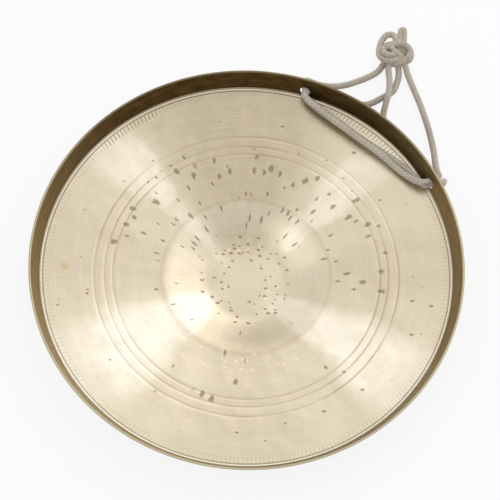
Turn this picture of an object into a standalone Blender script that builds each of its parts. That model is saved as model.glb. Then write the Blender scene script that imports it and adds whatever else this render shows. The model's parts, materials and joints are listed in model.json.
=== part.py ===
"""A hand gong: one hammered bronze disc with a shallow flared rim, hung on a doubled cotton cord.

Metres, +Z up. The gong lies on the flat middle of its back with its open side up, and the origin is on the
floor under its centre. The cord passes twice through two holes in the rim and is knotted outside it. What
lies outside the rim swings about the hinge line, which runs past the outer mouths of the two holes.
"""
import math

import bmesh
import bpy
from mathutils import Matrix, Vector

MM = 0.001
GAP = 0.0003                        # clearance between pieces that touch

# The bronze disc
LIP_RADIUS = 0.150                  # outer edge of the rim's lip
RIM_HEIGHT = 0.0137                 # from the edge of the face up to the lip
RIM_FLARE = math.radians(22.6)      # lean of the rim outwards from upright
RIM_THICKNESS = 0.0015
FACE_THICKNESS = 0.0015
FACE_SLOPE = math.radians(5.3)      # rise of the outer face towards the rim
DOME_RADIUS = 0.060                 # where the slope round the flat middle ends
DOME_RISE = 0.0096                  # height gained over that slope
FLAT_RADIUS = 0.025                 # the flat middle, which the gong lies on
FOOT_ROUNDING = 0.0015              # between face and rim, on the inside
LIP_ROUNDING = 0.0005
TURNED_LINES = (0.0927, 0.0982, 0.1055)     # radii of the lines turned in the face
LINE_WIDTH = 0.0012
LINE_DEPTH = 0.00025
DISC_STEPS = 96

# The two holes for the cord
HOLE_SPACING = 0.1126               # straight across, between the holes' centres
HOLE_RADIUS = 0.0038
HOLE_RISE = 0.0037                  # of the holes' centres above the edge of the face
HOLES_TOWARDS = math.radians(53.65)         # direction of the point midway between the holes
CUTTER_REACH = 0.005                # of the drilling cutter to each side of the rim's middle
HINGE_REACH = 0.009                 # from the middle of the rim out to the hinge line

# The cord
CORD_DIAMETER = 0.0045
SQUEEZED = 0.72                     # share of its diameter that the cord keeps in a hole
CORD_SIDES = 3                      # bevel resolution, which gives ten sides
ROUND_END = (1.0, 0.92, 0.71, 0.38)         # a round end's sections, back from its centre, in cord radii
ROUND_END_TIP = 0.06                # radius of a round end's tip, in cord radii

# Lengths that follow from these
EDGE_RADIUS = LIP_RADIUS - RIM_THICKNESS / math.cos(RIM_FLARE) - RIM_HEIGHT * math.tan(RIM_FLARE)
FACE_RISE = (EDGE_RADIUS - DOME_RADIUS) * math.tan(FACE_SLOPE)
EDGE_HEIGHT = FACE_THICKNESS + DOME_RISE + FACE_RISE
LIP_HEIGHT = EDGE_HEIGHT + RIM_HEIGHT
HOLE_HEIGHT = EDGE_HEIGHT + HOLE_RISE
HOLE_CIRCLE = EDGE_RADIUS + HOLE_RISE * math.tan(RIM_FLARE) + RIM_THICKNESS / math.cos(RIM_FLARE) / 2
HOLE_TURN = math.asin(HOLE_SPACING / 2 / HOLE_CIRCLE)       # of each hole from the middle direction
HINGE_CIRCLE = HOLE_CIRCLE + HINGE_REACH * math.cos(RIM_FLARE)
HINGE_HEIGHT = HOLE_HEIGHT - HINGE_REACH * math.sin(RIM_FLARE)

# Routes of the cord, in millimetres. Floor routes run from the hinge line to the knot: x along the hinge
# line towards the right hole, y outwards from it, z above the floor. The first point of each is the centre
# of its round end, given from its own hole's hinge point, and so are the points marked near.
NEAR = "near"
FAR = "far"
STRAND_ASIDE = 2.5                  # of each strand's end from its hole's hinge point, along the hinge line

LEFT_HIGH_STRAND = (
    (NEAR, -2.5, 0.0, 0.0), (NEAR, -2.8, 2.4, -3.0), (NEAR, -1.0, 5.2, -7.0), (NEAR, 4.0, 8.2, -9.6),
    (NEAR, 11.2, 13.0, -10.2), (FAR, -42.6, 21.5, 5.2), (FAR, -37.5, 32.2, 2.7), (FAR, -33.8, 40.3, 2.6),
    (FAR, -31.9, 46.5, 3.0), (FAR, -31.9, 51.6, 4.2),
)
LEFT_LOW_STRAND = (
    (NEAR, 2.5, 0.0, 0.0), (NEAR, 2.9, 2.4, -2.8), (NEAR, 3.9, 2.6, -9.0), (NEAR, 6.5, 4.6, -13.6),
    (NEAR, 12.0, 8.0, -16.0), (FAR, -42.0, 11.5, 2.8), (FAR, -31.0, 15.5, 2.6), (FAR, -23.0, 19.3, 2.6),
    (FAR, -19.2, 24.5, 2.6), (FAR, -17.2, 30.0, 2.6), (FAR, -14.8, 36.5, 2.6), (FAR, -13.8, 42.0, 2.6), (FAR, -15.4, 47.3, 2.7),
    (FAR, -17.6, 52.4, 3.2), (FAR, -20.9, 56.6, 4.0),
)
RIGHT_LOW_STRAND = (
    (NEAR, 2.5, 0.0, 0.0), (NEAR, 1.9, 2.4, -2.8), (NEAR, 0.5, 1.2, -9.0), (NEAR, -3.2, 2.0, -13.6),
    (NEAR, -9.5, 5.0, -16.0), (FAR, 42.0, 8.5, 2.8), (FAR, 24.0, 11.0, 2.6), (FAR, 8.0, 13.5, 2.6),
    (FAR, -2.5, 17.0, 2.6),
    (FAR, -7.6, 22.5, 3.4), (FAR, -10.2, 27.5, 5.4), (FAR, -12.6, 33.0, 7.3), (FAR, -15.8, 39.0, 7.6),
    (FAR, -20.5, 45.2, 7.2), (FAR, -26.4, 51.4, 6.8),
)
RIGHT_HIGH_STRAND = (
    (NEAR, -2.5, 0.0, 0.0), (NEAR, -3.4, 3.2, -1.6), (NEAR, -6.7, 5.9, -4.3), (NEAR, -13.0, 12.5, -9.5),
    (FAR, 37.7, 22.1, 5.0), (FAR, 24.0, 34.0, 2.8), (FAR, 8.2, 45.1, 2.6), (FAR, -7.4, 54.4, 2.9),
    (FAR, -14.5, 58.5, 4.4), (FAR, -18.9, 61.4, 6.2),
)

# Two strands wind a quarter turn round each other on their way through a hole. Each row: out along the
# hole's axis from the middle of the rim, their middle's shift towards the other hole, half their spread
# sideways and up the rim, in millimetres, and the share of its diameter that the cord keeps there.
HOLE_PASSAGE = (
    (4.8, 0.0, 2.4, 0.0, 1.0), (3.2, 0.25, 1.6, 1.6, 0.92), (1.6, 0.4, 0.85, 1.8, 0.80),
    (0.5, 0.5, 0.6, 1.68, SQUEEZED), (-0.9, 0.5, 0.6, 1.68, SQUEEZED), (-2.4, 0.5, 0.6, 2.05, 0.84),
)
# The stretches inside the rim: x along the hinge line and y outwards from it as before, z above the holes'
# centres, from the left hole to the right one.
INSIDE_HIGH_STRAND = (
    (-54.0, -11.4, 3.6), (-49.8, -13.3, 3.1), (-42.0, -13.7, 2.5), (-28.0, -13.6, 2.0), (-6.0, -13.2, 1.9),
    (16.0, -13.0, 1.5), (34.0, -13.7, -0.1), (44.5, -13.9, 1.7), (49.8, -13.2, 3.0), (53.2, -11.3, 3.6),
)
INSIDE_LOW_STRAND = (
    (-51.8, -10.9, -1.3), (-47.5, -11.2, -1.4), (-40.0, -11.0, -1.6), (-28.0, -10.8, -1.9), (-6.0, -10.5, -2.2),
    (14.0, -9.6, -2.0), (31.0, -9.0, -1.6), (42.0, -9.6, -1.4), (47.5, -10.4, -1.3), (52.0, -11.0, -1.3),
)
SAMPLES_A_SPAN = 1                  # extra sections between two points of a route

# The knot, in millimetres on the same axes as the far points
KNOT_CENTRE = (-29.9, 65.1, 6.9)
KNOT_HALF_SIZE = (11.3, 8.2, 6.5)   # across, deep and high
KNOT_TURN = math.radians(36.35)     # of its width from the hinge line
LARGE_LOOP = (
    (-40.8, 56.0, 5.4), (-43.1, 61.5, 6.0), (-44.6, 68.0, 7.0), (-42.9, 73.0, 7.6), (-38.9, 74.2, 8.0),
    (-35.8, 72.0, 8.0),
)
SMALL_LOOP = ((-30.9, 74.9, 7.6), (-33.4, 78.6, 7.6), (-35.2, 81.3, 7.6), (-36.5, 83.3, 7.6))
SMALL_LOOP_SIZE = (1.3, 1.3, 1.2, 0.8)      # shares of the cord's diameter, as the fold is two strands thick


def collection(name):
    made = bpy.data.collections.new(name)
    bpy.context.scene.collection.children.link(made)
    return made


def material(name, colour, roughness, metallic):
    made = bpy.data.materials.new(name)
    made.use_nodes = True
    shader = made.node_tree.nodes["Principled BSDF"]
    shader.inputs["Base Color"].default_value = (*colour, 1.0)
    shader.inputs["Roughness"].default_value = roughness
    shader.inputs["Metallic"].default_value = metallic
    made.diffuse_color = (*colour, 1.0)
    return made


def add_object(name, data, into, finish=None):
    made = bpy.data.objects.new(name, data)
    into.objects.link(made)
    if finish:
        data.materials.append(finish)
    return made


# The disc's section, as points (radius, height)

def face_height(radius):
    """Height of the face's upper surface: flat, then a slope, then a gentle rise to the rim."""
    if radius <= FLAT_RADIUS:
        return FACE_THICKNESS
    if radius <= DOME_RADIUS:
        share = (radius - FLAT_RADIUS) / (DOME_RADIUS - FLAT_RADIUS)
        return FACE_THICKNESS + DOME_RISE * (1 - math.cos(math.pi * share)) / 2
    return FACE_THICKNESS + DOME_RISE + (radius - DOME_RADIUS) * math.tan(FACE_SLOPE)


def rounded(before, corner, after, radius, pieces=4):
    """An arc in place of a corner between two straight sides."""
    corner = Vector(corner)
    back = (Vector(before) - corner).normalized()
    ahead = (Vector(after) - corner).normalized()
    half = back.angle(ahead) / 2
    centre = corner + (back + ahead).normalized() * radius / math.sin(half)
    start = corner + back * radius / math.tan(half) - centre
    end = corner + ahead * radius / math.tan(half) - centre
    sweep = start.angle(end)
    points = []
    for i in range(pieces + 1):
        share = i / pieces
        spoke = (start * math.sin((1 - share) * sweep) + end * math.sin(share * sweep)) / math.sin(sweep)
        points.append(tuple(centre + spoke))
    return points


def disc_section():
    """The section from the top of the middle, out over the face, round the lip and back underneath."""
    slope_radii = [FLAT_RADIUS + (DOME_RADIUS - FLAT_RADIUS) * i / 6 for i in range(7)]
    top = [(0.0, FACE_THICKNESS)] + [(r, face_height(r)) for r in slope_radii]
    for radius in TURNED_LINES:
        for r, depth in ((radius - LINE_WIDTH / 2, 0), (radius, LINE_DEPTH), (radius + LINE_WIDTH / 2, 0)):
            top.append((r, face_height(r) - depth))
    rim_slope = math.tan(RIM_FLARE)
    level_thickness = RIM_THICKNESS / math.cos(RIM_FLARE)
    foot = (EDGE_RADIUS, EDGE_HEIGHT)
    lip_inside = (LIP_RADIUS - level_thickness, LIP_HEIGHT)
    lip_outside = (LIP_RADIUS, LIP_HEIGHT)
    # Where the outer side of the rim meets the underside of the face
    fall = RIM_HEIGHT + FACE_THICKNESS - (LIP_RADIUS - EDGE_RADIUS) * math.tan(FACE_SLOPE)
    fall /= 1 - math.tan(FACE_SLOPE) * rim_slope
    heel = (LIP_RADIUS - fall * rim_slope, LIP_HEIGHT - fall)
    underside = [(r, h - FACE_THICKNESS) for r, h in reversed(top[:8])]
    points = list(top)
    points += rounded(top[-1], foot, lip_inside, FOOT_ROUNDING)
    points += rounded(foot, lip_inside, lip_outside, LIP_ROUNDING, 2)
    points += rounded(lip_inside, lip_outside, heel, LIP_ROUNDING, 2)
    points += rounded(lip_outside, heel, underside[0], FOOT_ROUNDING + RIM_THICKNESS)
    return points + underside


def turned_disc(name, section, into, finish):
    mesh = bpy.data.meshes.new(name)
    edges = [(i, i + 1) for i in range(len(section) - 1)]
    mesh.from_pydata([(r, 0.0, h) for r, h in section], edges, [])
    made = add_object(name, mesh, into, finish)
    screw = made.modifiers.new("turn", "SCREW")
    screw.steps = screw.render_steps = DISC_STEPS
    screw.use_merge_vertices = True
    screw.merge_threshold = 0.00001
    screw.use_smooth_shade = True
    return made


# Frames that the holes and the cord are placed in

def hole_frame(side):
    """Place of a hole, side -1 for the left one and 1 for the right one: x out along its axis, y towards
    the other hole and z up the rim, from the middle of the rim's thickness."""
    azimuth = HOLES_TOWARDS - side * HOLE_TURN
    outward = Vector((math.cos(azimuth), math.sin(azimuth), 0))
    level = Vector((-math.sin(azimuth), math.cos(azimuth), 0)) * side
    up = Vector((0, 0, 1))
    axis = outward * math.cos(RIM_FLARE) - up * math.sin(RIM_FLARE)
    along_rim = outward * math.sin(RIM_FLARE) + up * math.cos(RIM_FLARE)
    frame = Matrix((axis, level, along_rim)).transposed().to_4x4()
    frame.translation = outward * HOLE_CIRCLE + up * HOLE_HEIGHT
    return frame


def cord_frame(height, along=0.0):
    """Place on the hinge line: x along it towards the right hole, y outwards and z up from a height."""
    outward = Vector((math.cos(HOLES_TOWARDS), math.sin(HOLES_TOWARDS), 0))
    towards_right = Vector((math.sin(HOLES_TOWARDS), -math.cos(HOLES_TOWARDS), 0))
    frame = Matrix((towards_right, outward, Vector((0, 0, 1)))).transposed().to_4x4()
    middle = outward * HINGE_CIRCLE * math.cos(HOLE_TURN) + towards_right * along
    frame.translation = middle + Vector((0, 0, height))
    return frame


def hinge_point(side):
    """Place of a hole's hinge point, on axes parallel to the cord frame's."""
    return cord_frame(HINGE_HEIGHT, side * HINGE_CIRCLE * math.sin(HOLE_TURN))


def placed(frame, x, y, z):
    return frame @ Vector((x * MM, y * MM, z * MM))


# The cord

def smooth_route(points):
    """A Catmull-Rom curve through (place, share of the diameter) points, sampled between each two."""
    route = []
    for i in range(len(points) - 1):
        four = [points[min(max(k, 0), len(points) - 1)] for k in (i - 1, i, i + 1, i + 2)]
        for step in range(SAMPLES_A_SPAN + 1):
            t = step / (SAMPLES_A_SPAN + 1)
            weights = (
                (-t + 2 * t * t - t**3) / 2,
                (2 - 5 * t * t + 3 * t**3) / 2,
                (t + 4 * t * t - 3 * t**3) / 2,
                (t**3 - t * t) / 2,
            )
            place = sum((p * w for (p, _), w in zip(four, weights)), Vector())
            share = four[1][1] + (four[2][1] - four[1][1]) * t
            route.append((place, share))
    return route + [points[-1]]


def tube(name, route, into, finish):
    """A round tube along a route, as a poly spline with a radius for each point."""
    curve = bpy.data.curves.new(name, "CURVE")
    curve.dimensions = "3D"
    curve.bevel_depth = CORD_DIAMETER / 2
    curve.bevel_resolution = CORD_SIDES
    curve.use_fill_caps = True
    spline = curve.splines.new("POLY")
    spline.points.add(len(route) - 1)
    spline.use_smooth = True
    for point, (place, share) in zip(spline.points, route):
        point.co = (*place, 1.0)
        point.radius = share
    return add_object(name, curve, into, finish)


def outside_route(points, side):
    """From the centre of the round end on the hinge line to the knot."""
    frames = {NEAR: hinge_point(side), FAR: cord_frame(0.0)}
    route = smooth_route([(placed(frames[kind], x, y, z), 1.0) for kind, x, y, z in points])
    back = (route[0][0] - route[1][0]).normalized()
    end = [(route[0][0] + back * CORD_DIAMETER / 2, ROUND_END_TIP)]
    for reach in ROUND_END[1:]:
        end.append((route[0][0] + back * reach * CORD_DIAMETER / 2, math.sqrt(1 - reach * reach)))
    return end + route


def passage(side, sideways, upwards):
    """One strand's points through a hole, from outside to inside, sideways 1 towards the other hole."""
    frame = hole_frame(side)
    start = hinge_point(side) @ Vector((sideways * -side * STRAND_ASIDE * MM, 0, 0))
    local = frame.inverted() @ start
    local.x -= CORD_DIAMETER / 2 + GAP
    local.z = 0.0
    points = [(frame @ local, 1.0)]
    for out, shift, spread, rise, share in HOLE_PASSAGE:
        points.append((placed(frame, out, shift + sideways * spread, upwards * rise), share))
    return points


def inside_route(points, left_sideways, right_sideways, upwards):
    """From outside the left hole through both holes to outside the right one."""
    frame = cord_frame(HOLE_HEIGHT)
    middle = [(placed(frame, x, y, z), 1.0) for x, y, z in points]
    there = passage(-1, left_sideways, upwards)
    back = passage(1, right_sideways, upwards)
    return smooth_route(there + middle + back[::-1])


def knot_lump(into, finish):
    """The drawn-up body of the knot, as one rounded lump."""
    mesh = bpy.data.meshes.new("cord_knot")
    shape = bmesh.new()
    bmesh.ops.create_uvsphere(shape, u_segments=20, v_segments=12, radius=1.0)
    bmesh.ops.scale(shape, verts=shape.verts, vec=Vector(KNOT_HALF_SIZE) * MM)
    shape.to_mesh(mesh)
    shape.free()
    mesh.shade_smooth()
    made = add_object("cord_knot", mesh, into, finish)
    turned = cord_frame(0.0) @ Matrix.Translation(Vector(KNOT_CENTRE) * MM) @ Matrix.Rotation(KNOT_TURN, 4, "Z")
    made.matrix_world = turned
    return made


def hang_on_hinge(pieces, into):
    """An empty on the hinge line carries the pieces that swing."""
    hinge = bpy.data.objects.new("cord_swing", None)
    hinge.empty_display_size = 0.01
    into.objects.link(hinge)
    hinge.matrix_world = cord_frame(HINGE_HEIGHT)
    bpy.context.view_layer.update()
    for piece in pieces:
        piece.parent = hinge
        piece.matrix_parent_inverse = hinge.matrix_world.inverted()


def drill(disc, side, into):
    """Cut one hole square through the rim."""
    mesh = bpy.data.meshes.new("hole_cutter")
    shape = bmesh.new()
    bmesh.ops.create_cone(
        shape, cap_ends=True, segments=32, radius1=HOLE_RADIUS, radius2=HOLE_RADIUS, depth=2 * CUTTER_REACH
    )
    shape.to_mesh(mesh)
    shape.free()
    cutter = add_object("hole_cutter", mesh, into)
    place = hole_frame(side)
    upright = Vector((0, 0, 1)).rotation_difference(place.to_3x3().col[0]).to_matrix().to_4x4()
    upright.translation = place.translation
    cutter.matrix_world = upright
    cutter.hide_render = True
    cutter.display_type = "WIRE"
    cut = disc.modifiers.new("hole", "BOOLEAN")
    cut.operation = "DIFFERENCE"
    cut.solver = "EXACT"
    cut.object = cutter


def build():
    for old in list(bpy.data.objects):
        bpy.data.objects.remove(old, do_unlink=True)
    pieces = collection("hand_gong")
    cutters = collection("cutters")
    bronze = material("bronze", (0.62, 0.52, 0.36), 0.32, 1.0)
    cotton = material("cotton", (0.60, 0.54, 0.45), 0.95, 0.0)

    disc = turned_disc("gong_disc", disc_section(), pieces, bronze)
    for side in (-1, 1):
        drill(disc, side, cutters)

    tube("cord_inside_high", inside_route(INSIDE_HIGH_STRAND, -1, 1, 1), pieces, cotton)
    tube("cord_inside_low", inside_route(INSIDE_LOW_STRAND, 1, -1, -1), pieces, cotton)

    swinging = [
        tube("cord_left_high", outside_route(LEFT_HIGH_STRAND, -1), pieces, cotton),
        tube("cord_left_low", outside_route(LEFT_LOW_STRAND, -1), pieces, cotton),
        tube("cord_right_low", outside_route(RIGHT_LOW_STRAND, 1), pieces, cotton),
        tube("cord_right_high", outside_route(RIGHT_HIGH_STRAND, 1), pieces, cotton),
        knot_lump(pieces, cotton),
    ]
    floor = cord_frame(0.0)
    large = smooth_route([(placed(floor, *p), 1.0) for p in LARGE_LOOP])
    swinging.append(tube("cord_large_loop", large, pieces, cotton))
    small = smooth_route([(placed(floor, *p), share) for p, share in zip(SMALL_LOOP, SMALL_LOOP_SIZE)])
    swinging.append(tube("cord_small_loop", small, pieces, cotton))
    hang_on_hinge(swinging, pieces)


build()
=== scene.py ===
"""The finish of a hammered bronze hand gong and its knotted cotton cord."""
import json
import math

import bmesh
import bpy
import numpy as np
from mathutils import Matrix, Vector, noise


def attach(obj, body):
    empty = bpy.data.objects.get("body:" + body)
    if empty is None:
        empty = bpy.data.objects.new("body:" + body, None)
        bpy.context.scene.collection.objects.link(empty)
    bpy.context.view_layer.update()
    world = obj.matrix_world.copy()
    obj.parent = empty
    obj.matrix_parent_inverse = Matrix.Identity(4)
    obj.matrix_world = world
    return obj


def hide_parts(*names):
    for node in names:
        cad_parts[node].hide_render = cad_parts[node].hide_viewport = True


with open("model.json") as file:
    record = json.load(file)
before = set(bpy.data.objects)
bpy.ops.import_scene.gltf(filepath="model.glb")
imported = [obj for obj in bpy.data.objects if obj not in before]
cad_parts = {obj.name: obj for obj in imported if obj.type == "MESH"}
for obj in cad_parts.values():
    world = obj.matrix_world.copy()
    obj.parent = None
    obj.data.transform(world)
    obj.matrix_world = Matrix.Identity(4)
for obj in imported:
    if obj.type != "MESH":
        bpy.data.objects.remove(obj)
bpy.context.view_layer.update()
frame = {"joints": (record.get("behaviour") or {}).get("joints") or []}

MM = 0.001

# The disc, as the frame has it
LIP_RADIUS = 0.150
RIM_HEIGHT = 0.0137
RIM_FLARE = math.radians(22.6)
SHEET = 0.0015                      # thickness of the face and the rim
FACE_SLOPE = math.radians(5.3)
DOME_RADIUS = 0.060
DOME_RISE = 0.0096
FLAT_RADIUS = 0.025
FOOT_ROUNDING = 0.0015
LIP_ROUNDING = 0.0005
TURNED_LINES = (0.0927, 0.0982, 0.1055)
LINE_WIDTH = 0.0012
LINE_DEPTH = 0.00008
SPIN_STEPS = 540
RADIAL_STEP = 0.0022                # between the face's sections
WAVE_HEIGHT = 0.00022               # how far hammering has moved the face up or down
WAVE_LENGTH = 0.019

EDGE_RADIUS = LIP_RADIUS - SHEET / math.cos(RIM_FLARE) - RIM_HEIGHT * math.tan(RIM_FLARE)
EDGE_HEIGHT = SHEET + DOME_RISE + (EDGE_RADIUS - DOME_RADIUS) * math.tan(FACE_SLOPE)
LIP_HEIGHT = EDGE_HEIGHT + RIM_HEIGHT

# The holes and the hinge line
HOLE_SPACING = 0.1126
HOLE_RADIUS = 0.0038
HOLE_RISE = 0.0037
HOLE_HEIGHT = EDGE_HEIGHT + HOLE_RISE
HOLE_CIRCLE = EDGE_RADIUS + HOLE_RISE * math.tan(RIM_FLARE) + SHEET / math.cos(RIM_FLARE) / 2
HOLE_TURN = math.asin(HOLE_SPACING / 2 / HOLE_CIRCLE)
HINGE_REACH = 0.009
HINGE_CIRCLE = HOLE_CIRCLE + HINGE_REACH * math.cos(RIM_FLARE)
JOINT = frame["joints"][0]
HINGE_LINE = Vector(JOINT["axis"]).normalized()
HINGE_MIDDLE = Vector(JOINT["pos_m"])
OUTWARD = Vector((-HINGE_LINE.y, HINGE_LINE.x, 0))
HOLES_TOWARDS = math.atan2(OUTWARD.y, OUTWARD.x)

# The cord
CORD_DIAMETER = 0.0045
CORD_SIDES = 24
CORD_STEP = 0.00045                 # between the cord's sections
BRAID_STRANDS = 4                   # that wind each way round it
BRAID_PITCH = 0.0034                # from one crossing to the next but one
BRAID_DEPTH = 0.13                  # of the braid, in cord radii
SQUEEZED = 0.72


# The camera, at the photograph's place

CAMERA_LENS = 210.0
CAMERA_ELEVATION = math.radians(65.796)
CAMERA_ROLL = math.radians(3.399)
CAMERA_TARGET = Vector((1.514, 16.165, 20.0)) * MM
CAMERA_DISTANCE = 2.0183


def make_camera():
    data = bpy.data.cameras.new("camera")
    data.lens = CAMERA_LENS
    data.clip_end = 20.0
    camera = bpy.data.objects.new("camera", data)
    bpy.context.scene.collection.objects.link(camera)
    back = Vector((0, -math.cos(CAMERA_ELEVATION), math.sin(CAMERA_ELEVATION)))
    level = Vector((1, 0, 0))
    upright = back.cross(level)
    right = level * math.cos(CAMERA_ROLL) + upright * math.sin(CAMERA_ROLL)
    up = upright * math.cos(CAMERA_ROLL) - level * math.sin(CAMERA_ROLL)
    turned = Matrix((right, up, back)).transposed().to_4x4()
    turned.translation = CAMERA_TARGET + back * CAMERA_DISTANCE
    camera.matrix_world = turned
    bpy.context.scene.camera = camera


# Shader arithmetic

class Signal:
    """A shader socket that takes part in sums."""

    def __init__(self, sheet, socket):
        self.sheet = sheet
        self.socket = socket

    def math(self, operation, *others):
        return self.sheet.node("ShaderNodeMath", self, *others, operation=operation)

    def __add__(self, other):
        return self.math("ADD", other)

    def __sub__(self, other):
        return self.math("SUBTRACT", other)

    def __mul__(self, other):
        return self.math("MULTIPLY", other)

    def __truediv__(self, other):
        return self.math("DIVIDE", other)

    def __rsub__(self, other):
        return self.sheet.node("ShaderNodeMath", other, self, operation="SUBTRACT")

    __radd__ = __add__
    __rmul__ = __mul__

    def smooth(self, low, high):
        """0 below low, 1 above high, and the other way round where low is the larger."""
        return self.sheet.node("ShaderNodeMapRange", self, low, high, interpolation_type="SMOOTHSTEP")

    def band(self, low, high, soft):
        """1 between low and high, with soft edges."""
        return self.smooth(low - soft, low) * self.smooth(high + soft, high)


class Sheet:
    """One material and its nodes."""

    def __init__(self, name):
        self.material = bpy.data.materials.new(name)
        self.material.use_nodes = True
        self.tree = self.material.node_tree
        self.shader = self.tree.nodes["Principled BSDF"]

    def feed(self, socket, value):
        if isinstance(value, Signal):
            self.tree.links.new(value.socket, socket)
        else:
            socket.default_value = value

    def node(self, kind, *inputs, output=0, named=None, **settings):
        made = self.tree.nodes.new(kind)
        for key, value in settings.items():
            setattr(made, key, value)
        for position, value in enumerate(inputs):
            self.feed(made.inputs[position], value)
        for key, value in (named or {}).items():
            self.feed(made.inputs[key], value)
        return Signal(self, made.outputs[output])

    def place(self):
        return self.node("ShaderNodeTexCoord", output="Object")

    def parts(self, vector):
        split = self.node("ShaderNodeSeparateXYZ", vector).socket.node
        return [Signal(self, socket) for socket in split.outputs]

    def joined(self, x, y, z):
        return self.node("ShaderNodeCombineXYZ", x, y, z)

    def mix(self, factor, first, second):
        """Colour first where factor is 0, second where it is 1."""
        made = self.node("ShaderNodeMix", factor, output=2, data_type="RGBA")
        self.feed(made.socket.node.inputs[6], first)
        self.feed(made.socket.node.inputs[7], second)
        return made

    def noise(self, vector, scale, detail=2.0, roughness=0.5):
        values = {"Vector": vector, "Scale": scale, "Detail": detail, "Roughness": roughness}
        return self.node("ShaderNodeTexNoise", named=values)

    def set(self, **values):
        for key, value in values.items():
            self.feed(self.shader.inputs[key.replace("_", " ")], value)

    def bump(self, height, distance, strength=1.0, below=None):
        values = {"Height": height, "Distance": distance, "Strength": strength}
        if below:
            values["Normal"] = below
        return self.node("ShaderNodeBump", named=values)


def colour(red, green, blue):
    """A colour given as screen values from 0 to 255, as linear ones."""
    values = [v / 255 for v in (red, green, blue)]
    return (*[v / 12.92 if v <= 0.04045 else ((v + 0.055) / 1.055) ** 2.4 for v in values], 1.0)


# Bronze

FACE_COLOUR = colour(214, 201, 176)
BRIGHT_FACE = colour(246, 237, 219)
FACE_GRAIN_AND_SHADE = colour(187, 173, 148)
LINE_COLOUR = colour(150, 130, 94)
MARK_COLOUR = colour(108, 90, 64)
RIM_COLOUR = colour(146, 127, 90)
DARK_RIM = colour(72, 52, 24)
LIP_HIGHLIGHT_COLOUR = colour(196, 186, 158)
BACK_COLOUR = colour(138, 116, 78)
DARK_BACK = colour(96, 76, 44)
STAIN_COLOUR = colour(204, 180, 140)
# Painted highlights and painted dark reflections of the turned polish: azimuth and half width in degrees, and
# how much
HIGHLIGHT_SECTORS = ((-33, 17, 1.0), (-143, 21, 1.0), (139, 10, 0.8), (48, 11, 0.7))
DARK_REFLECTION_SECTORS = ((96, 40, 1.0), (-88, 26, 0.35), (175, 22, 0.35), (8, 16, 0.3))
TICKS_ROUND = 300                   # punched marks round the edge of the face
TICK_SLANT = 0.15                   # turns of phase for each millimetre outwards
STAIN_PLACE = (-125.5, -3.0)        # of one small stain on the face, in millimetres


def sector(sheet, x, y, radius, azimuth, half_width):
    """1 in the middle of a wedge of the disc, 0 outside it."""
    turn = math.radians(azimuth)
    towards = (x * math.cos(turn) + y * math.sin(turn)) / radius
    return towards.smooth(math.cos(math.radians(half_width)), math.cos(math.radians(half_width * 0.25)))


def hammer_marks(sheet, place, spacing, size, share):
    """Small round dents, one in each cell that the share lets in: 1 in the middle of a dent."""
    values = {"Vector": place, "Scale": 1 / spacing, "Randomness": 1.0}
    cells = sheet.node("ShaderNodeTexVoronoi", named=values, voronoi_dimensions="2D", feature="F1")
    cell_colour = Signal(sheet, cells.socket.node.outputs["Color"])
    chance, breadth, _ = sheet.parts(cell_colour)
    reach = (breadth * 0.6 + 0.5) * (size / spacing)
    inside = (1 - cells / reach).math("MAXIMUM", 0.0)
    allowed = (share - chance).smooth(0.0, 0.03)
    return inside.smooth(0.0, 0.5) * allowed


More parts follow.
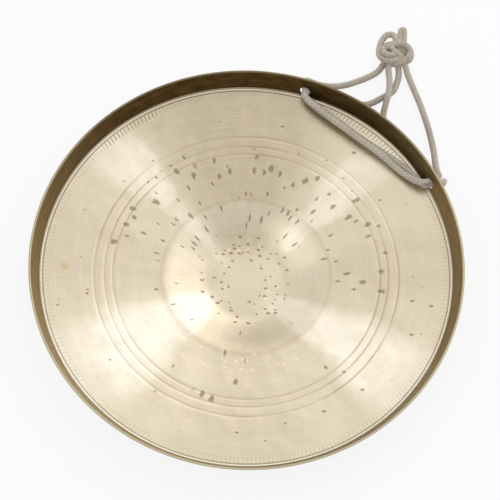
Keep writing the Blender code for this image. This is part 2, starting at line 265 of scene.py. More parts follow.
def bronze():
    sheet = Sheet("hammered_bronze")
    place = sheet.place()
    x, y, z = [part * (1 / MM) for part in sheet.parts(place)]
    radius = (x * x + y * y + 0.01).math("SQRT")
    azimuth = y.math("ARCTAN2", x)
    top = sheet.node("ShaderNodeAttribute", output="Fac", attribute_name="face_side")
    flat_place = sheet.joined(x * MM, y * MM, 0.0)
    broad = sheet.noise(flat_place, 16.0, 3.0, 0.55)
    cloudy = sheet.noise(flat_place, 60.0, 4.0, 0.6)
    warped = sheet.noise(flat_place, 260.0, 2.0)

    # Lathe scratches follow the radius and fade in and out round the disc
    wobble = (cloudy - 0.5) * 0.25
    scratches = sheet.noise(sheet.joined(radius + wobble, x * 0.012, y * 0.012), 2.6, 5.0, 0.7)
    fine_scratches = sheet.noise(sheet.joined(radius * 3.0, x * 0.03, y * 0.03), 2.2, 3.0, 0.7)

    # Painted highlights in the bright wedges and painted dark reflection in the dark wedges, broken up by noise
    painted_highlight = 0.0
    for turn, width, amount in HIGHLIGHT_SECTORS:
        wedge = sector(sheet, x + (broad - 0.5) * 7, y + (cloudy - 0.5) * 3, radius, turn, width)
        painted_highlight = wedge * amount + painted_highlight
    painted_dark_reflection = 0.0
    for turn, width, amount in DARK_REFLECTION_SECTORS:
        wedge = sector(sheet, x + (broad - 0.5) * 7, y + (cloudy - 0.5) * 3, radius, turn, width)
        painted_dark_reflection = wedge * amount + painted_dark_reflection
    away = radius.smooth(12.0, 45.0) * (1 - radius.smooth(112.0, 140.0) * 0.5)
    spokes = sheet.noise(sheet.joined(x / radius, y / radius, radius * 0.004), 11.0, 4.0, 0.6)
    painted_highlight = painted_highlight * away * (spokes * 1.1 + 0.3)
    painted_dark_reflection = painted_dark_reflection * radius.smooth(8.0, 40.0) * (spokes * 0.9 + 0.45)

    # The darker face colour carries the painted dark reflection here and the lathe streaks below
    face = sheet.mix(painted_dark_reflection.math("MINIMUM", 1.0), FACE_COLOUR, FACE_GRAIN_AND_SHADE)
    face = sheet.mix(painted_highlight.math("MINIMUM", 1.0), face, BRIGHT_FACE)
    streaks = (scratches - 0.5) * 1.5 + (fine_scratches - 0.5) * 0.6
    face = sheet.mix((streaks * 0.85).math("MAXIMUM", 0.0), face, FACE_GRAIN_AND_SHADE)
    face = sheet.mix((streaks * -0.75).math("MAXIMUM", 0.0), face, BRIGHT_FACE)
    face = sheet.mix((cloudy.smooth(0.52, 0.75)) * 0.18, face, colour(199, 181, 146))

    # Three turned lines and the edge of the sunk middle, worn through here and there
    lines = 0.0
    worn = broad.smooth(0.36, 0.64) * 0.75 + 0.2
    for line in TURNED_LINES:
        lines = radius.band(line / MM - 0.45, line / MM + 0.45, 0.45) * 0.5 + lines
    inner_edge = radius.band(57.6, 58.9, 2.0) * 0.15
    face = sheet.mix((lines * worn + inner_edge).math("MINIMUM", 1.0), face, LINE_COLOUR)
    # Painted shade on the lower side of the sunk middle's slope and a painted highlight on its upper side
    lower = (y * -1.0).smooth(-20.0, 40.0)
    inside = radius.smooth(59.0, 57.0) * radius.smooth(28.0, 48.0)
    face = sheet.mix(inside * lower * 0.16, face, LINE_COLOUR)
    face = sheet.mix(inside * (1 - lower) * 0.14, face, BRIGHT_FACE)

    # Hammer marks, thickest in the upper half and round the middle
    marks_place = sheet.joined(x * MM + (warped - 0.5) * 0.0024, y * MM * 1.5 + (cloudy - 0.5) * 0.002, 0.0)
    upper = sector(sheet, x, y, radius, 95, 105)
    upper_share = radius.band(44.0, 94.0, 10.0) * (upper * 0.42 + 0.10)
    middle_share = radius.band(15.0, 31.0, 5.0) * 0.62
    outer_share = radius.band(94.0, 132.0, 4.0) * 0.05
    strokes_place = sheet.joined(azimuth * 0.078 + (warped - 0.5) * 0.003, radius * (MM * 0.5), 0.0)
    strokes = hammer_marks(sheet, strokes_place, 0.0060, 0.0018, upper_share)
    dents = hammer_marks(sheet, marks_place, 0.0064, 0.0019, middle_share + outer_share)
    dark_marks = dents.math("MAXIMUM", strokes)
    low_share = radius.band(58.0, 74.0, 4.0) * sector(sheet, x, y, radius, -92, 75) * 0.65
    pale_marks = hammer_marks(sheet, marks_place, 0.0072, 0.0021, low_share + middle_share * 0.4)
    face = sheet.mix(dark_marks * 0.62, face, MARK_COLOUR)
    face = sheet.mix(pale_marks * 0.35, face, colour(238, 220, 176))

    # The beaded edge: a groove, a bead and slanting punch marks inside them
    ticks = (azimuth * TICKS_ROUND + radius * TICK_SLANT * 2.0).math("SINE").smooth(0.0, 0.9)
    # The ticks show more strongly round two azimuths
    tick_strength = sector(sheet, x, y, radius, 130, 13) + sector(sheet, x, y, radius, 54, 24) * 0.5 + 0.2
    ticks = ticks * radius.band(136.0, 139.9, 0.5) * tick_strength.math("MINIMUM", 1.0)
    grooves = radius.band(140.35, 140.85, 0.35) + radius.band(142.3, 142.9, 0.35)
    bead = radius.band(141.2, 142.0, 0.4)
    face = sheet.mix(ticks * 0.6, face, MARK_COLOUR)
    face = sheet.mix(bead * 0.4, face, BRIGHT_FACE)
    face = sheet.mix(grooves.math("MINIMUM", 1.0) * 0.42, face, DARK_RIM)

    spot_x = x - STAIN_PLACE[0]
    spot_y = y - STAIN_PLACE[1]
    spot = (spot_x * spot_x + spot_y * spot_y * 1.6).math("SQRT") + (warped - 0.5) * 3.0
    stain = spot.smooth(4.4, 2.2)
    face = sheet.mix(stain * 0.5, face, STAIN_COLOUR)

    # The inner wall of the rim, darker brown at its far side: partly patina, partly a painted dark reflection
    far_side = sector(sheet, x, y, radius, 94, 84)
    patina = sheet.noise(sheet.joined(azimuth * 2.2, z * 0.05, radius * 0.01), 6.0, 5.0, 0.65)
    wall = sheet.mix(far_side * 0.8 + (patina - 0.5) * 0.9 + 0.1, RIM_COLOUR, DARK_RIM)
    wall = sheet.mix(patina.smooth(0.58, 0.82) * 0.5, wall, colour(176, 158, 118))
    # Painted shade in the corner at the foot of the wall
    near_foot = z.smooth(EDGE_HEIGHT / MM + 2.6, EDGE_HEIGHT / MM)
    wall = sheet.mix(near_foot * 0.45, wall, DARK_RIM)
    on_wall = radius.smooth(142.75, 143.15)
    front = sheet.mix(on_wall, face, wall)

    # The back: darker, with lathe marks of its own and dents from the hammer
    back = sheet.mix(broad.smooth(0.35, 0.7), BACK_COLOUR, DARK_BACK)
    back = sheet.mix((streaks * 0.9).math("MAXIMUM", 0.0), back, DARK_BACK)
    back = sheet.mix((streaks * -1.0).math("MAXIMUM", 0.0), back, colour(186, 165, 122))
    back_marks = hammer_marks(sheet, marks_place, 0.0095, 0.0036, 0.75)
    back = sheet.mix(back_marks * 0.35, back, DARK_BACK)
    metal = sheet.mix(top, back, front)
    # Painted highlight along the top of the lip, weaker at the far side
    lip_highlight = z.smooth(LIP_HEIGHT / MM - 0.75, LIP_HEIGHT / MM - 0.35)
    metal = sheet.mix(lip_highlight * (0.8 - far_side * 0.6), metal, LIP_HIGHLIGHT_COLOUR)

    rough = cloudy * 0.14 + 0.24 + on_wall * 0.12 + (1 - top) * 0.10 + dark_marks * 0.15 + stain * 0.3
    relief = dark_marks * -0.35 + pale_marks * -0.3 + ticks * -0.6 + bead * 0.6 - grooves * 0.7
    relief = relief * top * (1 - on_wall) + back_marks * (1 - top) * -1.0
    normal = sheet.bump(relief, 0.00022)
    normal = sheet.bump(scratches * 0.6 + fine_scratches * 0.4, 0.00005, 0.8, normal)
    normal = sheet.bump(cloudy, 0.0004, 0.5, normal)
    sheet.set(Base_Color=metal, Metallic=1.0, Roughness=rough, Normal=normal)
    return sheet.material


# Cotton

COTTON_COLOUR = colour(205, 196, 180)
COTTON_CREASE_SHADE = colour(124, 110, 90)
COTTON_GREY = colour(176, 167, 152)


def cotton():
    sheet = Sheet("braided_cotton")
    place = sheet.place()
    braid = sheet.node("ShaderNodeAttribute", output="Fac", attribute_name="braid")
    fuzz = sheet.noise(place, 2600.0, 3.0, 0.6)
    dirt = sheet.noise(place, 90.0, 3.0)
    yarn = sheet.mix(dirt.smooth(0.4, 0.75) * 0.6, COTTON_COLOUR, COTTON_GREY)
    # Painted shade in the creases between the braid's strands
    yarn = sheet.mix(braid.smooth(0.55, 0.05) * 0.75, yarn, COTTON_CREASE_SHADE)
    yarn = sheet.mix(fuzz.smooth(0.5, 0.8) * 0.25, yarn, COTTON_GREY)
    normal = sheet.bump(fuzz, 0.00018, 0.7)
    sheet.set(Base_Color=yarn, Roughness=0.92, Normal=normal, Sheen_Weight=0.25, Sheen_Roughness=0.6)
    return sheet.material


# The disc

def face_height(radius):
    if radius <= FLAT_RADIUS:
        return SHEET
    if radius <= DOME_RADIUS:
        share = (radius - FLAT_RADIUS) / (DOME_RADIUS - FLAT_RADIUS)
        return SHEET + DOME_RISE * (1 - math.cos(math.pi * share)) / 2
    return SHEET + DOME_RISE + (radius - DOME_RADIUS) * math.tan(FACE_SLOPE)


def rounded(before, corner, after, radius, pieces=6):
    """An arc in place of a corner between two straight sides."""
    corner = Vector(corner)
    back = (Vector(before) - corner).normalized()
    ahead = (Vector(after) - corner).normalized()
    half = back.angle(ahead) / 2
    centre = corner + (back + ahead).normalized() * radius / math.sin(half)
    start = corner + back * radius / math.tan(half) - centre
    end = corner + ahead * radius / math.tan(half) - centre
    sweep = start.angle(end)
    points = []
    for i in range(pieces + 1):
        share = i / pieces
        spoke = (start * math.sin((1 - share) * sweep) + end * math.sin(share * sweep)) / math.sin(sweep)
        points.append(tuple(centre + spoke))
    return points


def disc_section():
    """Radii and heights from the middle of the face, over the lip and back to the middle of the back."""
    steps = round((EDGE_RADIUS - 2 * FOOT_ROUNDING) / RADIAL_STEP)
    radii = {round(i * RADIAL_STEP, 6) for i in range(1, steps)}
    for line in TURNED_LINES:
        radii = {r for r in radii if abs(r - line) > LINE_WIDTH}
        radii |= {line - LINE_WIDTH / 2, line - LINE_WIDTH / 5, line + LINE_WIDTH / 5, line + LINE_WIDTH / 2}
    top = [(0.0, SHEET)]
    for r in sorted(radii):
        turned = any(abs(r - line) < LINE_WIDTH / 3 for line in TURNED_LINES)
        top.append((r, face_height(r) - LINE_DEPTH * turned))
    level = SHEET / math.cos(RIM_FLARE)
    slope = math.tan(RIM_FLARE)
    foot = (EDGE_RADIUS, EDGE_HEIGHT)
    lip_inside = (LIP_RADIUS - level, LIP_HEIGHT)
    lip_outside = (LIP_RADIUS, LIP_HEIGHT)
    fall = RIM_HEIGHT + SHEET - (LIP_RADIUS - EDGE_RADIUS) * math.tan(FACE_SLOPE)
    fall /= 1 - math.tan(FACE_SLOPE) * slope
    heel = (LIP_RADIUS - fall * slope, LIP_HEIGHT - fall)
    under = [(r, face_height(r) - SHEET) for r, _ in reversed(top)]
    points = list(top)
    points += rounded(top[-1], foot, lip_inside, FOOT_ROUNDING)
    points += rounded(foot, lip_inside, lip_outside, LIP_ROUNDING, 3)
    points += rounded(lip_inside, lip_outside, heel, LIP_ROUNDING, 3)
    points += rounded(lip_outside, heel, under[0], FOOT_ROUNDING + SHEET)
    return points + under


def hammered(place):
    """How far hammering has lifted the sheet at a place: nothing at the flat middle and the rim."""
    radius = place.xy.length
    if radius > EDGE_RADIUS - 0.004 or radius < FLAT_RADIUS:
        return 0.0
    ease = min(1.0, (EDGE_RADIUS - 0.004 - radius) / 0.012) * min(1.0, (radius - FLAT_RADIUS) / 0.012)
    at = Vector((place.x, place.y, 0)) / WAVE_LENGTH
    return WAVE_HEIGHT * ease * (noise.noise(at) + 0.5 * noise.noise(at * 2.3))


def is_front(place):
    """True on the side that faces up: the face and the rim's inner wall."""
    radius = place.xy.length
    if radius < EDGE_RADIUS:
        return place.z > face_height(radius) - SHEET / 2
    middle = LIP_RADIUS - SHEET / math.cos(RIM_FLARE) / 2 - (LIP_HEIGHT - place.z) * math.tan(RIM_FLARE)
    return radius < middle


def make_disc(finish):
    shape = bmesh.new()
    line = [shape.verts.new((r, 0, h)) for r, h in disc_section()]
    edges = [shape.edges.new(pair) for pair in zip(line, line[1:])]
    bmesh.ops.spin(
        shape, geom=line + edges, cent=(0, 0, 0), axis=(0, 0, 1), dvec=(0, 0, 0), angle=math.tau,
        steps=SPIN_STEPS, use_merge=True, use_duplicate=False,
    )
    bmesh.ops.remove_doubles(shape, verts=shape.verts, dist=0.00001)
    bmesh.ops.recalc_face_normals(shape, faces=shape.faces)
    for vert in shape.verts:
        vert.co.z += hammered(vert.co)
    mesh = bpy.data.meshes.new("gong_disc_hammered")
    shape.to_mesh(mesh)
    shape.free()
    mesh.materials.append(finish)
    disc = bpy.data.objects.new("gong_disc_hammered", mesh)
    bpy.context.scene.collection.objects.link(disc)
    for side_of_middle in (-1, 1):
        drill(disc, side_of_middle)
    fronts = [float(is_front(vert.co)) for vert in disc.data.vertices]
    disc.data.attributes.new("face_side", "FLOAT", "POINT").data.foreach_set("value", fronts)
    disc.data.shade_smooth()
    disc.data.set_sharp_from_angle(angle=math.radians(50))
    return disc


def hole_frame(side):
    """Place of a hole: x out along its axis, y towards the other hole and z up the rim."""
    azimuth = HOLES_TOWARDS - side * HOLE_TURN
    outward = Vector((math.cos(azimuth), math.sin(azimuth), 0))
    level = Vector((-math.sin(azimuth), math.cos(azimuth), 0)) * side
    up = Vector((0, 0, 1))
    axis = outward * math.cos(RIM_FLARE) - up * math.sin(RIM_FLARE)
    along_rim = outward * math.sin(RIM_FLARE) + up * math.cos(RIM_FLARE)
    placed_at = Matrix((axis, level, along_rim)).transposed().to_4x4()
    placed_at.translation = outward * HOLE_CIRCLE + up * HOLE_HEIGHT
    return placed_at


def drill(disc, side):
    """Cut one hole, and leave the result in the mesh."""
    shape = bmesh.new()
    bmesh.ops.create_cone(
        shape, cap_ends=True, segments=48, radius1=HOLE_RADIUS, radius2=HOLE_RADIUS, depth=0.010
    )
    place = hole_frame(side)
    upright = Vector((0, 0, 1)).rotation_difference(place.to_3x3().col[0]).to_matrix().to_4x4()
    upright.translation = place.translation
    bmesh.ops.transform(shape, matrix=upright, verts=shape.verts)
    mesh = bpy.data.meshes.new("drill")
    shape.to_mesh(mesh)
    shape.free()
    cutter = bpy.data.objects.new("drill", mesh)
    bpy.context.scene.collection.objects.link(cutter)
    cut = disc.modifiers.new("hole", "BOOLEAN")
    cut.operation = "DIFFERENCE"
    cut.solver = "EXACT"
    cut.object = cutter
    graph = bpy.context.evaluated_depsgraph_get()
    drilled = bpy.data.meshes.new_from_object(disc.evaluated_get(graph))
    disc.modifiers.clear()
    disc.data = drilled
    bpy.data.objects.remove(cutter, do_unlink=True)


# The cord's routes, in millimetres: x along the hinge line towards the right hole, y outwards, z up

NEAR = "near"                       # measured from the hole's own point on the hinge line
FAR = "far"                         # measured from the floor under the middle of the hinge line
STRAND_ASIDE = 2.5
LEFT_HIGH_STRAND = (
    (NEAR, -2.5, 0.0, 0.0), (NEAR, -2.8, 2.4, -3.0), (NEAR, -1.0, 5.2, -7.0), (NEAR, 4.0, 8.2, -9.6),
    (NEAR, 11.2, 13.0, -10.2), (FAR, -42.6, 21.5, 5.2), (FAR, -37.5, 32.2, 2.7), (FAR, -33.8, 40.3, 2.6),
    (FAR, -31.9, 46.5, 3.0), (FAR, -31.9, 51.6, 4.2), (FAR, -32.5, 56.5, 5.5),
)
LEFT_LOW_STRAND = (
    (NEAR, 2.5, 0.0, 0.0), (NEAR, 2.9, 2.4, -2.8), (NEAR, 3.9, 2.6, -9.0), (NEAR, 6.5, 4.6, -13.6),
    (NEAR, 12.0, 8.0, -16.0), (FAR, -42.0, 11.5, 2.8), (FAR, -31.0, 15.5, 2.6), (FAR, -23.0, 19.3, 2.6),
    (FAR, -19.2, 24.5, 2.6), (FAR, -17.2, 30.0, 2.6), (FAR, -14.8, 36.5, 2.6), (FAR, -13.8, 42.0, 2.6), (FAR, -15.4, 47.3, 2.7),
    (FAR, -17.6, 52.4, 3.2), (FAR, -20.9, 56.6, 4.0), (FAR, -25.0, 60.5, 5.0),
)
RIGHT_LOW_STRAND = (
    (NEAR, 2.5, 0.0, 0.0), (NEAR, 1.9, 2.4, -2.8), (NEAR, 0.5, 1.2, -9.0), (NEAR, -3.2, 2.0, -13.6),
    (NEAR, -9.5, 5.0, -16.0), (FAR, 42.0, 8.5, 2.8), (FAR, 24.0, 11.0, 2.6), (FAR, 8.0, 13.5, 2.6),
    (FAR, -2.5, 17.0, 2.6),
    (FAR, -7.6, 22.5, 3.4), (FAR, -10.2, 27.5, 5.4), (FAR, -12.6, 33.0, 7.3), (FAR, -15.8, 39.0, 7.6),
    (FAR, -20.5, 45.2, 7.2), (FAR, -26.4, 51.4, 6.8), (FAR, -29.5, 57.0, 7.5),
)
RIGHT_HIGH_STRAND = (
    (NEAR, -2.5, 0.0, 0.0), (NEAR, -3.4, 3.2, -1.6), (NEAR, -6.7, 5.9, -4.3), (NEAR, -13.0, 12.5, -9.5),
    (FAR, 37.7, 22.1, 5.0), (FAR, 24.0, 34.0, 2.8), (FAR, 8.2, 45.1, 2.6), (FAR, -7.4, 54.4, 2.9),
    (FAR, -14.5, 58.5, 4.4), (FAR, -18.9, 61.4, 6.2), (FAR, -24.0, 64.0, 7.0),
)
HOLE_PASSAGE = (
    (4.8, 0.0, 2.4, 0.0, 1.0), (3.2, 0.25, 1.6, 1.6, 0.92), (1.6, 0.4, 0.85, 1.8, 0.80),
    (0.5, 0.5, 0.6, 1.68, SQUEEZED), (-0.9, 0.5, 0.6, 1.68, SQUEEZED), (-2.4, 0.5, 0.6, 2.05, 0.84),
)
INSIDE_HIGH_STRAND = (
    (-54.0, -11.4, 3.6), (-49.8, -13.3, 3.1), (-42.0, -13.7, 2.5), (-28.0, -13.6, 2.0), (-6.0, -13.2, 1.9),
    (16.0, -13.0, 1.5), (34.0, -13.7, -0.1), (44.5, -13.9, 1.7), (49.8, -13.2, 3.0), (53.2, -11.3, 3.6),
)
INSIDE_LOW_STRAND = (
    (-51.8, -10.9, -1.3), (-47.5, -11.2, -1.4), (-40.0, -11.0, -1.6), (-28.0, -10.8, -1.9), (-6.0, -10.5, -2.2),
    (14.0, -9.6, -2.0), (31.0, -9.0, -1.6), (42.0, -9.6, -1.4), (47.5, -10.4, -1.3), (52.0, -11.0, -1.3),
)

# The knot's turns, each with the share of its diameter that the cord keeps
KNOT_TURNS = {
    "collar": (1.0, (
        (-40.8, 61.0, 6.5), (-39.3, 56.6, 8.3), (-35.4, 53.9, 9.6), (-30.6, 54.3, 10.4), (-26.6, 58.0, 10.8),
        (-25.0, 63.0, 10.2), (-26.5, 67.5, 7.5),
    )),
    "inner_turn": (0.95, (
        (-38.5, 63.0, 8.5), (-37.8, 59.4, 11.0), (-34.8, 57.2, 12.4), (-31.2, 58.0, 12.9), (-28.9, 61.4, 12.4),
        (-28.0, 66.0, 9.5),
    )),
    "top_turn": (1.0, (
        (-37.0, 60.5, 9.5), (-35.2, 65.0, 12.2), (-32.6, 69.2, 12.4), (-29.0, 71.9, 11.6), (-24.9, 72.6, 10.4),
        (-21.0, 70.6, 8.8), (-19.2, 66.8, 7.6), (-21.5, 63.5, 6.5),
    )),
    "crossing_turn": (0.8, (
        (-36.0, 65.5, 10.6), (-33.4, 63.6, 13.1), (-29.8, 62.6, 13.7), (-26.4, 62.9, 12.6), (-23.6, 64.0, 9.5),
    )),
    "outer_turn": (1.0, (
        (-22.0, 70.5, 9.0), (-20.5, 66.0, 10.2), (-21.8, 61.4, 9.6), (-25.0, 57.6, 7.2), (-30.0, 55.8, 5.0),
        (-36.0, 57.2, 3.6), (-39.8, 61.6, 3.4), (-39.6, 66.4, 4.4), (-36.5, 70.0, 6.0),
    )),
    "lower_turn": (1.0, (
        (-21.5, 64.5, 6.5), (-22.6, 70.4, 4.6), (-27.0, 73.2, 3.8), (-32.5, 72.6, 3.6), (-37.5, 69.0, 3.2),
        (-38.5, 63.5, 3.0), (-33.0, 59.0, 3.0), (-26.0, 60.0, 3.0), (-22.5, 64.5, 3.2),
    )),
    "large_loop": (1.0, (
        (-35.6, 56.4, 6.0), (-39.4, 57.2, 5.8), (-42.3, 61.4, 6.2), (-44.2, 67.0, 7.0), (-43.8, 72.2, 7.6),
        (-40.4, 74.6, 8.0), (-36.6, 73.0, 8.4), (-32.5, 70.4, 8.4),
    )),
    "small_loop": (0.76, (
        (-30.5, 70.5, 7.6), (-33.4, 73.4, 7.6), (-36.0, 76.8, 7.6), (-38.3, 79.9, 7.6), (-38.9, 82.0, 7.6),
        (-37.6, 83.4, 7.6), (-35.7, 82.1, 7.6), (-33.2, 78.9, 7.6), (-30.8, 75.6, 7.6), (-28.6, 72.0, 7.6),
    )),
}
KNOT_CENTRE = Vector((-29.9, 65.1, 6.9))
KNOT_CORE = Vector((9.3, 6.6, 5.4))
KNOT_TURN = math.radians(36.35)


def from_hinge(x, y, z, along=0.0, height=0.0):
    """A place in metres from millimetres on the hinge line's axes."""
    base = HINGE_MIDDLE.xy.to_3d() + HINGE_LINE * along + Vector((0, 0, height))
    return base + (HINGE_LINE * x + OUTWARD * y + Vector((0, 0, z))) * MM


def hinge_point(side, x, y, z):
    return from_hinge(x, y, z, side * HINGE_CIRCLE * math.sin(HOLE_TURN), HINGE_MIDDLE.z)


def outside_route(points, side):
    route = []
    for kind, x, y, z in points:
        route.append((hinge_point(side, x, y, z) if kind == NEAR else from_hinge(x, y, z), 1.0))
    return route


def passage(side, sideways, upwards):
    """One strand's way through a hole, from its own point on the hinge line to the inside."""
    place = hole_frame(side)
    points = [(hinge_point(side, sideways * -side * STRAND_ASIDE, 0.0, 0.0), 1.0)]
    for out, shift, spread, rise, share in HOLE_PASSAGE:
        local = Vector((out, shift + sideways * spread, upwards * rise)) * MM
        points.append((place @ local, share))
    return points


def inside_route(points, left_sideways, right_sideways, upwards):
    middle = [(from_hinge(x, y, z, 0.0, HOLE_HEIGHT), 1.0) for x, y, z in points]
    there = passage(-1, left_sideways, upwards)
    back = passage(1, right_sideways, upwards)
    return there + middle + back[::-1]


def sampled(route):
    """Places and shares at even steps along a smooth curve through the route."""
    dense = []
    for i in range(len(route) - 1):
        four = [route[min(max(k, 0), len(route) - 1)] for k in (i - 1, i, i + 1, i + 2)]
        for step in range(40):
            t = step / 40
            weights = (
                (-t + 2 * t * t - t**3) / 2, (2 - 5 * t * t + 3 * t**3) / 2,
                (t + 4 * t * t - 3 * t**3) / 2, (t**3 - t * t) / 2,
            )
            spot = sum((p * w for (p, _), w in zip(four, weights)), Vector())
            dense.append((*spot, four[1][1] + (four[2][1] - four[1][1]) * t))
    dense.append((*route[-1][0], route[-1][1]))
    dense = np.array(dense)
    gone = np.concatenate([[0], np.cumsum(np.linalg.norm(np.diff(dense[:, :3], axis=0), axis=1))])
    count = max(8, round(gone[-1] / CORD_STEP))
    even = np.linspace(0, gone[-1], count + 1)
    return np.stack([np.interp(even, gone, dense[:, k]) for k in range(4)], axis=1)


def round_end(place, inner, share):
    """Sections of a hemisphere past an end, from its tip inwards."""
    back = (place - inner) / np.linalg.norm(place - inner)
    rows = []
    for angle in np.radians([3, 15, 28, 42, 56, 70, 82]):
        reach = share * CORD_DIAMETER / 2 * math.cos(angle)
        rows.append([*(place + back * reach), share * math.sin(angle)])
    return rows


def cord_piece(name, route, body, finish):
    """A braided tube along a route, its surface raised strand by strand. Returns it with its path."""
    path = sampled(route)
    start = round_end(path[0, :3], path[1, :3], path[0, 3])
    end = round_end(path[-1, :3], path[-2, :3], path[-1, 3])[::-1]
    rows = np.array([*start, *path, *end])
    curve = bpy.data.curves.new(name, "CURVE")
    curve.dimensions = "3D"
    curve.bevel_depth = CORD_DIAMETER / 2
    curve.bevel_resolution = (CORD_SIDES - 4) // 2
    spline = curve.splines.new("POLY")
    spline.points.add(len(rows) - 1)
    spline.points.foreach_set("co", np.column_stack([rows[:, :3], np.ones(len(rows))]).ravel())
    spline.points.foreach_set("radius", rows[:, 3])
    guide = bpy.data.objects.new(name, curve)
    bpy.context.scene.collection.objects.link(guide)
    graph = bpy.context.evaluated_depsgraph_get()
    mesh = bpy.data.meshes.new_from_object(guide.evaluated_get(graph))
    bpy.data.objects.remove(guide, do_unlink=True)
    mesh.name = name

    sides = len(mesh.vertices) // len(rows)
    flat = np.zeros(len(mesh.vertices) * 3)
    mesh.vertices.foreach_get("co", flat)
    rings = flat.reshape(len(rows), sides, 3)
    centres = rings.mean(axis=1, keepdims=True)
    gone = np.concatenate([[0], np.cumsum(np.linalg.norm(np.diff(rows[:, :3], axis=0), axis=1))])
    around = np.arange(sides) / sides * math.tau
    turn = gone[:, None] * math.pi / BRAID_PITCH
    over = np.sin(BRAID_STRANDS * around[None, :] / 1.0 + turn) ** 2
    under = np.sin(BRAID_STRANDS * around[None, :] / 1.0 - turn) ** 2
    braid = np.sqrt(over * under)
    fade = np.minimum(1.0, np.minimum(gone, gone[-1] - gone) / CORD_DIAMETER)[:, None]
    swell = 1 + BRAID_DEPTH * (braid - 0.55) * fade
    rings = centres + (rings - centres) * swell[:, :, None]
    mesh.vertices.foreach_set("co", rings.ravel())
    mesh.attributes.new("braid", "FLOAT", "POINT").data.foreach_set("value", braid.ravel())

    shape = bmesh.new()
    shape.from_mesh(mesh)
    bmesh.ops.holes_fill(shape, edges=shape.edges, sides=0)
    bmesh.ops.recalc_face_normals(shape, faces=shape.faces)
    shape.to_mesh(mesh)
    shape.free()
    mesh.shade_smooth()
    mesh.materials.clear()
    mesh.materials.append(finish)
    piece = bpy.data.objects.new(name, mesh)
    bpy.context.scene.collection.objects.link(piece)
    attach(piece, body)
    return piece, path[:, :3]


def knot_core(finish):
    """The cord that is hidden inside the knot, as one lump."""
    shape = bmesh.new()
    bmesh.ops.create_icosphere(shape, subdivisions=4, radius=1.0)
    turned = Matrix.Rotation(KNOT_TURN, 4, "Z") @ Matrix.Diagonal((*KNOT_CORE, 1.0))
    bmesh.ops.transform(shape, matrix=turned, verts=shape.verts)
    for vert in shape.verts:
        vert.co *= 1 + 0.06 * noise.noise(vert.co * 0.35)
        vert.co = from_hinge(*(KNOT_CENTRE + vert.co))
    # Painted shade: the whole lump inside the knot takes the crease colour
    low = shape.verts.layers.float.new("braid")
    for vert in shape.verts:
        vert[low] = 0.15
    mesh = bpy.data.meshes.new("knot_core")
    shape.to_mesh(mesh)
    shape.free()
    mesh.shade_smooth()
    mesh.materials.append(finish)
    core = bpy.data.objects.new("knot_core", mesh)
    bpy.context.scene.collection.objects.link(core)
    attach(core, "hanging_cord")
    return core


def make_knot(finish):
    core = knot_core(finish)
    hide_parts("cord_knot")
    pieces = [core]
    stands_for = {"large_loop": "cord_large_loop", "small_loop": "cord_small_loop"}
    for name, (share, points) in KNOT_TURNS.items():
        route = [(from_hinge(*point), share) for point in points]
        piece, _ = cord_piece("knot_" + name, route, "hanging_cord", finish)
        if name in stands_for:
            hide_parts(stands_for[name])
        pieces.append(piece)
    return pieces


def make_cord(finish):
    knot = make_knot(finish)
    outside = {
        "cord_left_high": (LEFT_HIGH_STRAND, -1), "cord_left_low": (LEFT_LOW_STRAND, -1),
        "cord_right_low": (RIGHT_LOW_STRAND, 1), "cord_right_high": (RIGHT_HIGH_STRAND, 1),
    }
    for name, (points, side) in outside.items():
        piece, path = cord_piece(name + "_braided", outside_route(points, side), "hanging_cord", finish)
        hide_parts(name)
    inside = {
        "cord_inside_high": (INSIDE_HIGH_STRAND, -1, 1, 1), "cord_inside_low": (INSIDE_LOW_STRAND, 1, -1, -1),
    }
    for name, settings in inside.items():
        piece, path = cord_piece(name + "_braided", inside_route(*settings), "gong", finish)
        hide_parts(name)


# Floor, lamps and background

def background_rays(tree):
    """1 for what the camera sees, straight or in metal."""
    path = tree.nodes.new("ShaderNodeLightPath")
    either = tree.nodes.new("ShaderNodeMath")
    either.operation = "MAXIMUM"
    tree.links.new(path.outputs["Is Camera Ray"], either.inputs[0])
    tree.links.new(path.outputs["Is Glossy Ray"], either.inputs[1])
    last = tree.nodes.new("ShaderNodeMath")
    last.operation = "MAXIMUM"
    tree.links.new(either.outputs[0], last.inputs[0])
    tree.links.new(path.outputs["Is Transmission Ray"], last.inputs[1])
    return last.outputs[0]


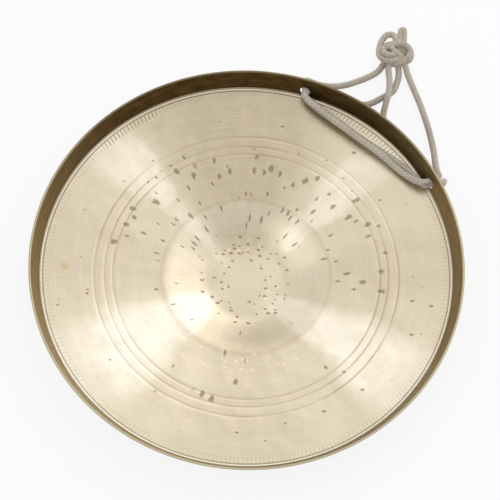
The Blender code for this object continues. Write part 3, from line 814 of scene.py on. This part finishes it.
def make_world(lighting=0.80):
    world = bpy.data.worlds.new("studio")
    bpy.context.scene.world = world
    world.use_nodes = True
    tree = world.node_tree
    seen = background_rays(tree)
    strength = tree.nodes.new("ShaderNodeMapRange")
    strength.inputs["To Min"].default_value = lighting
    strength.inputs["To Max"].default_value = 1.0
    tree.links.new(seen, strength.inputs["Value"])
    tree.links.new(strength.outputs[0], tree.nodes["Background"].inputs["Strength"])
    tree.nodes["Background"].inputs["Color"].default_value = (1, 1, 1, 1)


def make_floor():
    shape = bmesh.new()
    bmesh.ops.create_grid(shape, x_segments=1, y_segments=1, size=3.0)
    mesh = bpy.data.meshes.new("floor")
    shape.to_mesh(mesh)
    shape.free()
    floor = bpy.data.objects.new("floor", mesh)
    bpy.context.scene.collection.objects.link(floor)
    made = bpy.data.materials.new("pale_floor")
    made.use_nodes = True
    tree = made.node_tree
    shader = tree.nodes["Principled BSDF"]
    shader.inputs["Base Color"].default_value = (0.86, 0.86, 0.86, 1)
    shader.inputs["Roughness"].default_value = 0.95
    glow = tree.nodes.new("ShaderNodeEmission")
    blend = tree.nodes.new("ShaderNodeMixShader")
    share = tree.nodes.new("ShaderNodeMath")
    share.operation = "MULTIPLY"
    share.inputs[1].default_value = 0.86
    tree.links.new(background_rays(tree), share.inputs[0])
    tree.links.new(share.outputs[0], blend.inputs[0])
    tree.links.new(shader.outputs[0], blend.inputs[1])
    tree.links.new(glow.outputs[0], blend.inputs[2])
    tree.links.new(blend.outputs[0], tree.nodes["Material Output"].inputs["Surface"])
    mesh.materials.append(made)


def make_lamp(name, azimuth, elevation, distance, size, watts):
    data = bpy.data.lights.new(name, "AREA")
    data.size = size
    data.energy = watts
    lamp = bpy.data.objects.new(name, data)
    bpy.context.scene.collection.objects.link(lamp)
    azimuth, elevation = math.radians(azimuth), math.radians(elevation)
    flat = math.cos(elevation)
    place = Vector((flat * math.cos(azimuth), flat * math.sin(azimuth), math.sin(elevation))) * distance
    lamp.matrix_world = Matrix.Translation(place) @ place.to_track_quat("Z", "Y").to_matrix().to_4x4()


make_camera()
make_world()
make_floor()
make_lamp("key", 54, 36, 1.6, 1.6, 6.0)
make_lamp("fill", 200, 50, 1.8, 1.5, 2.0)
bpy.context.scene.view_settings.view_transform = "Standard"

cotton_finish = cotton()
make_cord(cotton_finish)
gong = make_disc(bronze())
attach(gong, "gong")
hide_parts("gong_disc")
